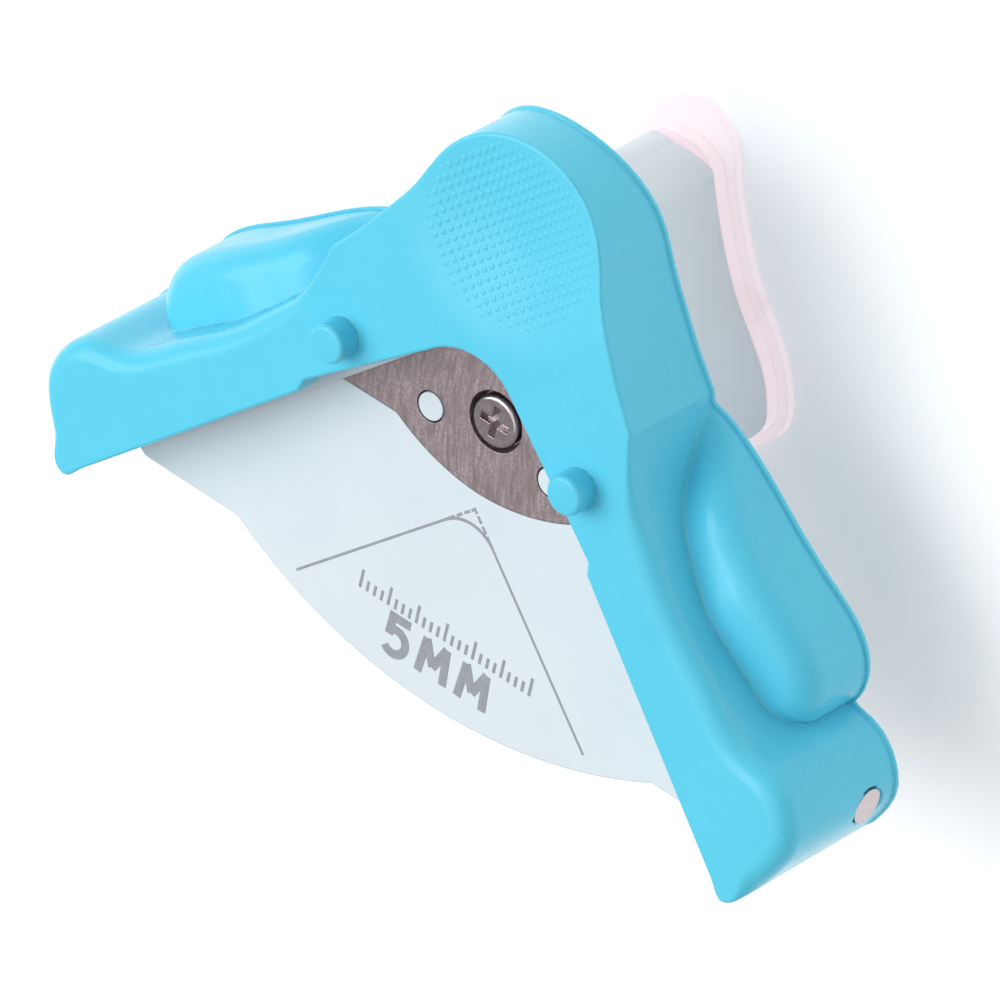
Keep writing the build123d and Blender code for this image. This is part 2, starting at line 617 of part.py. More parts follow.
os.makedirs("parts", exist_ok=True)
for node, shape in all_nodes().items():
    export_step(STORED * shape, f"parts/{node}.step")
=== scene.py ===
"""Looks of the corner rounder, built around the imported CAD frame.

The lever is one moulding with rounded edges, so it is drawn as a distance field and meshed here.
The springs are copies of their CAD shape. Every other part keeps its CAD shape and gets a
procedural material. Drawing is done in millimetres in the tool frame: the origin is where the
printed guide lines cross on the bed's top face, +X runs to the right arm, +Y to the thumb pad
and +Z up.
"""
import math

import bmesh
import bpy
import numpy as np
from mathutils import Matrix, Vector


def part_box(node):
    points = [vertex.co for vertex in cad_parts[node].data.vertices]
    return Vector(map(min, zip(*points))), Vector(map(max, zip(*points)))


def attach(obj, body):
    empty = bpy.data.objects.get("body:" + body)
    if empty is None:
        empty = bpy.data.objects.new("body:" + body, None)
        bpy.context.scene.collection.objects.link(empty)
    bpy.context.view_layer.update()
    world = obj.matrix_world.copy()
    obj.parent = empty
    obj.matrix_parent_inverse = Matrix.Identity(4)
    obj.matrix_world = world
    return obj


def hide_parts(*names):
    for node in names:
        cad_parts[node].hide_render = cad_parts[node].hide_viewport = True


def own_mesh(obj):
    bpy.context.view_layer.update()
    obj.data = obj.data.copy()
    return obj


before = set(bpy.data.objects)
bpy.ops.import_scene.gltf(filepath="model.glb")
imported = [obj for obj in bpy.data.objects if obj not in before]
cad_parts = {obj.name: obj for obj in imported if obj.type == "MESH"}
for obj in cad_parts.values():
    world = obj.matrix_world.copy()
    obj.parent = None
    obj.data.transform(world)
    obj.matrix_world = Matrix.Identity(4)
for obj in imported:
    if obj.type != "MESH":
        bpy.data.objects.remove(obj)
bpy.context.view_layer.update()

MM = 0.001
BED_FRONT_Y = -26.2         # front of the bed's curved edge, in the tool frame
bed_low, bed_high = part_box("bed")
ORIGIN = Vector((0.0, bed_low.y - BED_FRONT_Y * MM, bed_high.z))


# ---- camera ---------------------------------------------------------------------------------
CAMERA_RIGHT = (0.758, 0.191, -0.624)
CAMERA_BACK = (0.437, 0.562, 0.703)     # from the object towards the camera
CAMERA_DISTANCE = 1.484
TARGET_RIGHT = 2.67 * MM                # middle of the view, from the tool frame's origin
TARGET_UP = 1.0 * MM


def make_camera():
    """Long lens from above the thumb pad's right side, nearly without perspective."""
    right = Vector(CAMERA_RIGHT).normalized()
    back = Vector(CAMERA_BACK).normalized()
    up = back.cross(right).normalized()
    right = up.cross(back)
    target = ORIGIN + TARGET_RIGHT * right + TARGET_UP * up
    data = bpy.data.cameras.new("camera")
    data.lens = 500.0
    data.sensor_width = 36.0
    data.clip_start = 0.1
    data.clip_end = 20.0
    camera = bpy.data.objects.new("camera", data)
    bpy.context.scene.collection.objects.link(camera)
    turn = Matrix((right, up, back)).transposed()
    camera.matrix_world = Matrix.Translation(target + CAMERA_DISTANCE * back) @ turn.to_4x4()
    bpy.context.scene.camera = camera


# ---- plan outlines of the lever, for +X -----------------------------------------------------
def end_slope(h0, h1, d0, d1):
    """Slope at the end of the parabola through three points."""
    return ((2 * h0 + h1) * d0 - h0 * d1) / (h0 + h1)


def spline(points, start=None, end=None, step=0.1):
    """Smooth curve through points, with optional directions at its ends."""
    p = np.array(points, float)
    h = np.linalg.norm(np.diff(p, axis=0), axis=1)
    d = np.diff(p, axis=0) / h[:, None]
    count = len(p)
    if start is None:
        first = end_slope(h[0], h[1], d[0], d[1])
    else:
        first = np.array(start) / np.hypot(*start)
    if end is None:
        last = end_slope(h[-1], h[-2], d[-1], d[-2])
    else:
        last = np.array(end) / np.hypot(*end)
    lhs = np.eye(count)
    rhs = np.zeros((count, 2))
    rhs[0], rhs[-1] = first, last
    for i in range(1, count - 1):
        lhs[i, i - 1:i + 2] = 1 / h[i - 1], 2 * (1 / h[i - 1] + 1 / h[i]), 1 / h[i]
        rhs[i] = 3 * (d[i - 1] / h[i - 1] + d[i] / h[i])
    slope = np.linalg.solve(lhs, rhs)
    parts = []
    for i in range(count - 1):
        t = np.linspace(0, 1, max(2, int(h[i] / step)), endpoint=False)[:, None]
        parts.append(
            (2 * t**3 - 3 * t**2 + 1) * p[i] + (t**3 - 2 * t**2 + t) * h[i] * slope[i]
            + (3 * t**2 - 2 * t**3) * p[i + 1] + (t**3 - t**2) * h[i] * slope[i + 1]
        )
    return np.vstack(parts + [p[-1:]])


def arc(centre, radius, start, end, step=0.1):
    """Part of a circle between two angles, in degrees."""
    count = max(3, int(abs(math.radians(end - start)) * radius / step))
    angle = np.radians(np.linspace(start, end, count))
    return np.stack([centre[0] + radius * np.cos(angle), centre[1] + radius * np.sin(angle)], 1)


def lever_outline():
    """Arms, apex and thumb pad, from the middle of the pad round to the middle of the bay."""
    pad = spline(
        [(0, 49.0), (6.6, 47.2), (10.7, 42.9), (13.0, 37.3), (15.3, 33.2), (18.1, 28.8),
         (20.9, 25.0)],
        start=(1, 0), end=(0.6, -0.8),
    )
    cove = spline(
        [(20.9, 25.0), (22.2, 20.0), (24.0, 16.4), (26.8, 13.0), (31.6, 7.7), (38.2, 2.1),
         (44.1, -2.2), (48.8, -3.4)],
        end=(0.9, -0.44),
    )
    tip = spline(
        [(48.8, -3.4), (52.5, -8.4), (50.6, -15.2), (46.2, -19.4), (44.6, -17.6)],
        start=(0.9, -0.44), end=(-0.7, 0.7),
    )
    inner = np.array([(20.2, 6.8), (19.9, 8.35)])
    bay = arc((0, 14.9), 8.0, 49.4, 90)
    return np.vstack([pad, cove[1:], tip[1:], inner, bay])


def pod_outline():
    """Finger pod, reaching inside the arm."""
    edge = spline([(20.8, 23.4), (23.4, 22.4), (26.6, 20.6), (35.9, 13.3), (42.6, 8.0), (45.4, 4.2),
                   (46.0, 1.2), (45.3, -1.8)])
    return np.vstack([edge, [(40.0, -5.0), (18.0, 13.5), (16.0, 22.0), (20.8, 23.4)]])


class Plan:
    """Signed distance to a plan outline on a fine grid, read back smoothly."""

    LOW = (-3.0, -26.0)
    HIGH = (60.0, 56.0)
    STEP = 0.25
    BATCH = 40              # outline segments measured at a time

    def __init__(self, path, closed):
        """An open path is closed by a line that counts for inside or outside only."""
        xs = np.arange(self.LOW[0], self.HIGH[0], self.STEP)
        ys = np.arange(self.LOW[1], self.HIGH[1], self.STEP)
        grid_x, grid_y = np.meshgrid(xs, ys, indexing="ij")
        px, py = np.abs(grid_x).ravel(), grid_y.ravel()
        a, b = path[:-1], path[1:]
        best = np.full(px.shape, 1e9)
        for i in range(0, len(a), self.BATCH):
            ax, ay = a[i:i + self.BATCH].T
            dx, dy = (b - a)[i:i + self.BATCH].T
            along = ((px[:, None] - ax) * dx + (py[:, None] - ay) * dy) / (dx**2 + dy**2 + 1e-12)
            along = np.clip(along, 0, 1)
            gap = (px[:, None] - ax - along * dx)**2 + (py[:, None] - ay - along * dy)**2
            best = np.minimum(best, gap.min(1))
        ring = path if closed else np.vstack([path, path[:1]])
        inside = np.zeros(px.shape, bool)
        for (x0, y0), (x1, y1) in zip(ring[:-1], ring[1:]):
            if y0 != y1:
                crosses = (y0 > py) != (y1 > py)
                inside ^= crosses & (px + 1e-7 < (x1 - x0) * (py - y0) / (y1 - y0) + x0)
        self.value = (np.where(inside, -1, 1) * np.sqrt(best)).reshape(grid_x.shape)

    def at(self, x, y):
        """Distance at any points, by bicubic interpolation."""
        u = (x - self.LOW[0]) / self.STEP
        v = (y - self.LOW[1]) / self.STEP
        i = np.clip(np.floor(u).astype(int), 1, self.value.shape[0] - 3)
        j = np.clip(np.floor(v).astype(int), 1, self.value.shape[1] - 3)
        wu, wv = self.weights(u - i), self.weights(v - j)
        total = 0
        for m in range(4):
            row = 0
            for n in range(4):
                row = row + wv[n] * self.value[i + m - 1, j + n - 1]
            total = total + wu[m] * row
        return total

    @staticmethod
    def weights(t):
        """Catmull-Rom weights of four neighbours."""
        return (
            -0.5 * t + t**2 - 0.5 * t**3, 1 - 2.5 * t**2 + 1.5 * t**3,
            0.5 * t + 2 * t**2 - 1.5 * t**3, -0.5 * t**2 + 0.5 * t**3,
        )


# ---- field helpers --------------------------------------------------------------------------
def ramp(low, high, value):
    """Smooth step from 0 at low to 1 at high."""
    t = np.clip((value - low) / (high - low), 0, 1)
    return t * t * (3 - 2 * t)


def mix(a, b, t):
    """Value from a at t = 0 to b at t = 1."""
    return a + (b - a) * t


def both_of(a, b, radius):
    """Intersection of two fields with a rounded edge."""
    corner = np.hypot(np.maximum(a + radius, 0), np.maximum(b + radius, 0))
    return np.minimum(-radius, np.maximum(a, b)) + corner


def either_of(a, b, radius):
    """Union of two fields with a filleted joint."""
    return -both_of(-a, -b, radius)


def brick(x, y, z, low, high):
    """Distance to a rectangular block."""
    middle = [(a + b) / 2 for a, b in zip(low, high)]
    half = [(b - a) / 2 for a, b in zip(low, high)]
    return np.maximum(np.maximum(abs(x - middle[0]) - half[0], abs(y - middle[1]) - half[1]),
                      abs(z - middle[2]) - half[2])


# ---- lever ----------------------------------------------------------------------------------
WALL = 1.8
TOP = 8.2                   # height of the top face at y = 0, and its fall towards the pad
TOP_FALL = 0.052
HINGE = (-10.0, -6.0)       # y and z of the hinge axis
PIN_HOLE = 2.15             # radius of the hinge pin's hole
PIN_HOLE_FROM = 45.0        # |x| from which the hole runs out
EYE = 3.5                   # radius, middle |x|, half thickness and depth of the hinge eyes
EYE_X = 50.85
EYE_HALF = 1.15
EYE_INSET = 0.25
DISH_BALL = 50.0            # radius and middle of the ball that hollows the thumb pad
DISH_Y = 43.1
DISH_Z = 54.494
DISH_ROUND = 1.2
RIM = -10.1                 # height of the lower edge at the hinge, and its rise towards the pad
RIM_RISE = 0.075
RIM_END_DROP = 0.7          # it is this much lower at the arms' ends
ARM_END = (38, 46)          # |x| over which that comes in
RIM_TURN_Y = 35.0           # from here the lower edge curves up under the pad
RIM_CURVE = 0.015
RIM_SPREAD = 1.6            # how far outside the arm a pod's drop is whole
POD_BORDER = 1.2            # half width of the band along a pod's outline where it fades
RIM_ROUND = 0.25
LIP_OUT = 0.3               # hem along the lever's lower edge
LIP_FADE = (0.55, 0.95)     # height above the edge where it ends
LIP_FROM = (33, 36)         # |x| + y where it starts, so that the bay's side has none
POD_ROUND = 3.2             # radius between a pod's top and its outer wall
POD_DROP = 1.5              # how far the pods hang below the lever's lower edge
POD_LEAN = 0.12             # fall of a pod's top, outwards from its middle line
POD_MIDDLE = 27.6
POD_WALL = 1.1 * WALL       # thickness under a pod's top
POD_JOINT = 0.3             # fillet between pod and arm
BAY_TOP_EDGE = 0.35         # rounding of the top's edge towards the bay
ARM_EDGE = 2.4              # and of its outer edge, on the arms and on the pad
PAD_EDGE = 0.4
ARM_TO_PAD = (10, 23)       # y over which the arms' rounding turns into the pad's
BAY_TO_OUTER = (29, 34)     # |x| + y over which the bay's rounding turns into the outer one
ROOM_ROUND = 0.8            # rounding inside the hollow lever
ROOM_EDGE = 0.2
BOSS_X = 16.6               # spring bosses
BOSS_Y = 16.0
BOSS_RADIUS = 2.3
BOSS_TOP = 10.368
BOSS_CROWN = 0.02           # how fast its cap falls away from the middle
BOSS_ROUND = 0.5
BOSS_JOINT = 0.12
BOSS_ROOF = 0.8             # thickness over the bore
BORE = 1.7                  # radius of the bore that holds the spring
BAY_REACH = 32.2            # |x| + y up to which the inner walls are cut short
BAY_HEIGHT = 4.4
BAY_EDGE = 0.3
RIB = ((-1.0, 27.3, 4.1), (4.0, 28.7, 6.0))             # presses on the punch's heel
HOOK_STEM = ((19.2, 21.3, -5.4), (20.5, 24.0, 6.0))
HOOK_TOE = ((17.4, 21.3, -5.4), (19.3, 24.0, -3.25))
INNER_JOINT = 0.2           # fillet of rib, hooks and eyes


def top_at(y):
    """Height of the top face, before the dish."""
    return TOP - TOP_FALL * y


def rim_at(x, y):
    """Height of the lower edge: it curves up under the thumb pad and hangs lower under the pods."""
    out_of_arm = ramp(-WALL, RIM_SPREAD, ARM.at(x, y))
    under_pod = out_of_arm * ramp(POD_BORDER, -POD_BORDER, POD.at(x, y))
    along_arm = RIM - RIM_END_DROP * ramp(*ARM_END, x) + RIM_RISE * (y - HINGE[0])
    return along_arm + RIM_CURVE * np.maximum(0, y - RIM_TURN_Y)**2 - POD_DROP * under_pod


def pod_height(x, y):
    """Height of a pod's top along the arm, before its outer rounding."""
    along = (x - y) * math.sqrt(0.5)
    out = (x + y) * math.sqrt(0.5) - POD_MIDDLE
    return np.interp(along, POD_SPINE[:, 0], POD_SPINE[:, 1]) - POD_LEAN * out


def dish_at(x, y):
    """Height of the thumb dish's floor."""
    return DISH_Z - np.sqrt(DISH_BALL**2 - x**2 - (y - DISH_Y)**2)


def lever_field(x, y, z):
    """Negative inside the lever's plastic."""
    x = np.abs(x)
    pod = POD.at(x, y)
    corner = x + y
    top, rim = top_at(y), rim_at(x, y)
    arm = ARM.at(x, y)

    ball = np.sqrt(x**2 + (y - DISH_Y)**2 + (z - DISH_Z)**2)
    roof = both_of(z - top, DISH_BALL - ball, DISH_ROUND)
    outer_edge = mix(ARM_EDGE, PAD_EDGE, ramp(*ARM_TO_PAD, y))
    edge = mix(BAY_TOP_EDGE, outer_edge, ramp(*BAY_TO_OUTER, corner))
    hem = LIP_OUT * (1 - ramp(*LIP_FADE, z - rim)) * ramp(*LIP_FROM, corner)
    body = both_of(arm - hem, roof, edge)
    finger = both_of(pod - hem, z - pod_height(x, y), POD_ROUND)
    solid = either_of(body, finger, POD_JOINT)
    solid = both_of(solid, rim - z, RIM_ROUND)

    room = both_of(arm + WALL, np.maximum(z - top + WALL, DISH_BALL + WALL - ball), ROOM_ROUND)
    pod_room = both_of(pod + WALL, z - pod_height(x, y) + POD_WALL, POD_ROUND - WALL)
    solid = both_of(solid, -np.minimum(room, pod_room), ROOM_EDGE)

    rib = brick(x, y, z, *RIB)
    hook = np.minimum(brick(x, y, z, *HOOK_STEM), brick(x, y, z, *HOOK_TOE))
    around_pin = np.hypot(y - HINGE[0], z - HINGE[1])
    disc = np.maximum(around_pin - EYE, abs(x - EYE_X) - EYE_HALF)
    eye = np.maximum(disc, arm + EYE_INSET)
    bay = np.maximum((corner - BAY_REACH) * math.sqrt(0.5), z - BAY_HEIGHT)
    solid = both_of(solid, -bay, BAY_EDGE)
    solid = either_of(solid, np.minimum(np.minimum(rib, hook), eye), INNER_JOINT)

    around_boss = np.hypot(x - BOSS_X, y - BOSS_Y)
    cap = z - BOSS_TOP + BOSS_CROWN * around_boss**2
    boss = np.maximum(both_of(around_boss - BOSS_RADIUS, cap, BOSS_ROUND), top - WALL - z)
    solid = either_of(solid, boss, BOSS_JOINT)
    bore = np.maximum(around_boss - BORE, np.maximum(z - BOSS_TOP + BOSS_ROOF, -z))
    hole = np.maximum(around_pin - PIN_HOLE, PIN_HOLE_FROM - x)
    return np.maximum(np.maximum(solid, -bore), -hole)


def grid_lines(low, high, step, fine, fine_step):
    """Grid positions, closer together inside the fine spans."""
    lines = [low]
    while lines[-1] < high:
        near = any(a <= lines[-1] < b for a, b in fine)
        lines.append(lines[-1] + (fine_step if near else step))
    return np.array(lines)


def height_rows():
    """Grid rows as (share, offset) between the lever's rim and its top face.

    Rows that follow both faces keep the edges clean.
    """
    near_rim = (-0.6, -0.2, 0.12, 0.36, 0.6, 0.84, 1.08, 1.4)
    near_top = (-3.4, -3.0, -2.6, -2.2, -1.8, -1.45, -1.1, -0.8, -0.5, -0.2, 0.15)
    middle = 20
    rows = [(0, v) for v in near_rim]
    rows += [(k / middle, mix(near_rim[-1], near_top[0], k / middle)) for k in range(1, middle)]
    rows += [(1, v) for v in near_top]
    rows += [(1, v) for v in np.arange(0.4, 3.7, 0.26)]
    return np.array(rows)


def slope_of(field, p, step=0.02):
    """Gradient of a field by central differences."""
    x, y, z = p.T
    return np.stack([
        field(x + step, y, z) - field(x - step, y, z),
        field(x, y + step, z) - field(x, y - step, z),
        field(x, y, z + step) - field(x, y, z - step),
    ], 1) / (2 * step)


def surface_net(field, xs, ys, rows):
    """Quad mesh of a field's zero surface: one vertex in each grid cell that it crosses."""
    gx, gy = np.meshgrid(xs, ys, indexing="ij")
    low, high = rim_at(abs(gx), gy), top_at(gy)
    z = low[..., None] + rows[:, 0] * (high - low)[..., None] + rows[:, 1]
    flat = [np.broadcast_to(g[..., None], z.shape) for g in (gx, gy)]
    corner = np.stack([*flat, z], -1)
    value = np.stack([field(gx, gy, z[..., k]) for k in range(z.shape[2])], -1)
    inside = value < 0
    cells = tuple(n - 1 for n in value.shape)
    total = np.zeros((int(np.prod(cells)), 3))
    hits = np.zeros(int(np.prod(cells)))
    faces = []
    for axis in range(3):
        low_side = [slice(None)] * 3
        high_side = [slice(None)] * 3
        low_side[axis], high_side[axis] = slice(None, -1), slice(1, None)
        low_side, high_side = tuple(low_side), tuple(high_side)
        index = np.argwhere(inside[low_side] != inside[high_side])
        step = np.eye(3, dtype=int)[axis]
        a, b = tuple(index.T), tuple((index + step).T)
        share = value[a] / (value[a] - value[b])
        place = corner[a] + share[:, None] * (corner[b] - corner[a])
        u, v = np.eye(3, dtype=int)[(axis + 1) % 3], np.eye(3, dtype=int)[(axis + 2) % 3]
        keep = ((index[:, (axis + 1) % 3] > 0) & (index[:, (axis + 2) % 3] > 0)
                & (index[:, (axis + 1) % 3] < cells[(axis + 1) % 3])
                & (index[:, (axis + 2) % 3] < cells[(axis + 2) % 3]))
        index, place = index[keep], place[keep]
        solid_first = inside[a][keep]
        ring = [np.ravel_multi_index(tuple((index - du * u - dv * v).T), cells)
                for du, dv in ((1, 1), (0, 1), (0, 0), (1, 0))]
        for cell in ring:
            for k in range(3):
                total[:, k] += np.bincount(cell, place[:, k], minlength=len(total))
            hits += np.bincount(cell, minlength=len(hits))
        quads = np.stack(ring, 1)
        faces.append(np.where(solid_first[:, None], quads, quads[:, ::-1]))
    faces = np.vstack(faces)
    used = np.flatnonzero(hits)
    number = np.full(len(hits), -1)
    number[used] = np.arange(len(used))
    return total[used] / hits[used, None], number[faces]


def settle(field, points, rounds=4, reach=0.15):
    """Moves points onto the field's surface and gives its normals there."""
    for _ in range(rounds):
        slope = slope_of(field, points)
        size = np.maximum((slope**2).sum(1), 0.05)
        move = -(field(*points.T) / size)[:, None] * slope
        length = np.linalg.norm(move, axis=1, keepdims=True)
        points = points + move * np.minimum(1, reach / np.maximum(length, 1e-9))
    slope = slope_of(field, points, 0.05)
    return points, slope / np.maximum(np.linalg.norm(slope, axis=1, keepdims=True), 1e-9)


def to_row(points):
    """Tool frame in millimetres to the row frame in metres."""
    return np.asarray(points, float) * MM + np.array(ORIGIN)


def mesh_object(name, points, faces, normals=None, smooth=True):
    """Object from points in the tool frame."""
    mesh = bpy.data.meshes.new(name)
    mesh.from_pydata(to_row(points).tolist(), [], [list(map(int, f)) for f in faces])
    mesh.update()
    mesh.polygons.foreach_set("use_smooth", [smooth] * len(mesh.polygons))
    if normals is not None:
        mesh.normals_split_custom_set_from_vertices(normals.tolist())
    thing = bpy.data.objects.new(name, mesh)
    bpy.context.scene.collection.objects.link(thing)
    return thing


def make_lever():
    """The whole blue moulding as one skin, meshed finer round the bosses."""
    step, fine_step = 0.4, 0.24
    xs = grid_lines(-53.7, 53.7, step, [(-19.4, -13.8), (13.8, 19.4)], fine_step)
    ys = grid_lines(-21.3, 50.5, step, [(14.2, 19.8)], fine_step)
    points, faces = surface_net(lever_field, xs, ys, height_rows())
    points, normals = settle(lever_field, points)
    return mesh_object("lever_skin", points, faces, normals)


def make_thumb_grip():
    """Small domes moulded in the thumb dish, in a square pattern turned by 45 degrees."""
    pitch_x, pitch_y = 0.74, 0.76
    centre_y, reach = 39.3, 12.2
    dome, rise, sink = 0.41, 0.075, 0.03
    smallest = 0.2
    count = range(-17, 18)
    seats = np.array([
        (column * pitch_x, centre_y + row * pitch_y)
        for row in count for column in count if (row + column) % 2 == 0
    ])
    edge = ARM.at(abs(seats[:, 0]), seats[:, 1])
    off = np.hypot(seats[:, 0], seats[:, 1] - centre_y)
    size = ramp(reach + 0.3, reach - 2.6, off) * ramp(-0.7, -1.8, edge)
    seats, size = seats[size > smallest], size[size > smallest]
    seats = np.column_stack([seats, np.minimum(dish_at(*seats.T), top_at(seats[:, 1]))])
    seats, normals = settle(lever_field, seats)
    points, faces = [], []
    rings, sides = 3, 12
    for base, normal, share in zip(seats, normals, size.tolist()):
        base, normal = Vector(base), Vector(normal)
        side = normal.cross(Vector((0, 1, 0))).normalized()
        other = normal.cross(side)
        start = len(points)
        for ring in range(rings + 1):
            lean = ring / rings * math.pi / 2
            radius = dome * math.cos(lean)
            height = -sink + (rise * share + sink) * math.sin(lean)
            for k in range(sides if ring < rings else 1):
                turn = 2 * math.pi * k / sides
                points.append(base + radius * (math.cos(turn) * side + math.sin(turn) * other)
                              + height * normal)
        for ring in range(rings):
            for k in range(sides):
                a = start + ring * sides + k
                b = start + ring * sides + (k + 1) % sides
                if ring < rings - 1:
                    faces.append((a, a + sides, b + sides, b))
                else:
                    faces.append((a, start + rings * sides, b))
        faces.append(tuple(start + k for k in range(sides)))
    grip = mesh_object("thumb_grip", points, faces)
    bm = bmesh.new()
    bm.from_mesh(grip.data)
    bmesh.ops.recalc_face_normals(bm, faces=bm.faces)
    bm.to_mesh(grip.data)
    bm.free()
    return grip


# ---- printed guide --------------------------------------------------------------------------
INK_TOP = 0.03
INK_FOOT = -0.01
INK_LIFT = 0.0005           # each stroke is this much higher, so that none share a face
INK_WIDTH = 0.3
DASH_WIDTH = 0.34
MARK_WIDTH = 0.36


class Print:
    """Flat strokes of ink on the bed's top face."""

    def __init__(self):
        self.points, self.faces, self.strokes = [], [], 0

    def stroke(self, path, width):
        """A ribbon along a path, with square ends."""
        path = np.asarray(path, float)
        if len(path) > 2:
            ahead = np.gradient(path, axis=0)
        else:
            ahead = np.repeat(path[1:] - path[:1], 2, 0)
        ahead /= np.linalg.norm(ahead, axis=1, keepdims=True)
        left = np.stack([-ahead[:, 1], ahead[:, 0]], 1) * width / 2
        start = len(self.points)
        self.strokes += 1
        top = INK_TOP + INK_LIFT * self.strokes
        for (x, y), (lx, ly) in zip(path, left):
            for z in (top, INK_FOOT):
                self.points += [(x + lx, y + ly, z), (x - lx, y - ly, z)]
        for k in range(len(path) - 1):
            a, b = start + 4 * k, start + 4 * k + 4
            self.faces += [(a, a + 1, b + 1, b), (a + 2, b + 2, b + 3, a + 3),
                           (a, b, b + 2, a + 2), (a + 1, a + 3, b + 3, b + 1)]
        last = start + 4 * (len(path) - 1)
        self.faces += [(start, start + 2, start + 3, start + 1),
                       (last, last + 1, last + 3, last + 2)]

    def line(self, a, b, width=INK_WIDTH):
        """A straight stroke."""
        self.stroke([a, b], width)


def make_print():
    """Guide lines for a paper corner, its rounded corner, a millimetre scale and the size."""
    ink = Print()
    line_end, radius = 20.4, 4.7
    touch = radius * math.sqrt(0.5)
    line_start = touch * 0.97
    dash = 0.19 * touch
    corner_dash, past_corner = 0.38, 0.12
    for side in (-1, 1):
        ink.line((side * line_end, -line_end), (side * line_start, -line_start))
        for share in (0.36, 0.62, 0.88):
            a = touch * share
            b = a - dash
            ink.line((side * a, -a), (side * b, -b), DASH_WIDTH)
        ink.line((side * corner_dash, -corner_dash), (-side * past_corner, past_corner),
                 DASH_WIDTH)
    ink.stroke(arc((0, -radius * math.sqrt(2)), radius, 135, 45, 0.3), MARK_WIDTH)

    scale_y, tall, short = -17.6, 2.3, 1.3
    for tick in range(-12, 13):
        height = tall if tick % 4 == 0 else short
        ink.line((tick, scale_y), (tick, scale_y + height), MARK_WIDTH)

    text_low, text_high, bold = -23.0, -18.5, 1.05
    middle = (text_low + text_high) / 2
    five_x = -6.0
    hook = arc((five_x - 0.1, text_low + 1.55), 1.5, 125, -140, 0.3)
    ink.line((five_x - 1.15, text_high), (five_x + 1.5, text_high), bold)
    ink.line((five_x - 0.95, text_high + bold / 2), (five_x - 1.05, middle - 0.1), bold)
    ink.stroke(hook, bold)
    foot, shoulder, dip = 1.75, 1.4, -21.6
    for x in (-0.7, 4.9):
        for side in (-1, 1):
            ink.line((x + side * foot, text_low), (x + side * shoulder, text_high), bold)
            ink.line((x + side * shoulder, text_high), (x, dip), bold)
    return mesh_object("printed_guide", ink.points, ink.faces, smooth=False)


# ---- materials ------------------------------------------------------------------------------
SWIRL_SQUEEZE = 0.11        # width of a swirled streak as a share of its length


def srgb(r, g, b):
    """Linear colour from 8-bit values."""
    def linear(v):
        v /= 255
        return v / 12.92 if v <= 0.04045 else ((v + 0.055) / 1.055)**2.4
    return linear(r), linear(g), linear(b), 1.0


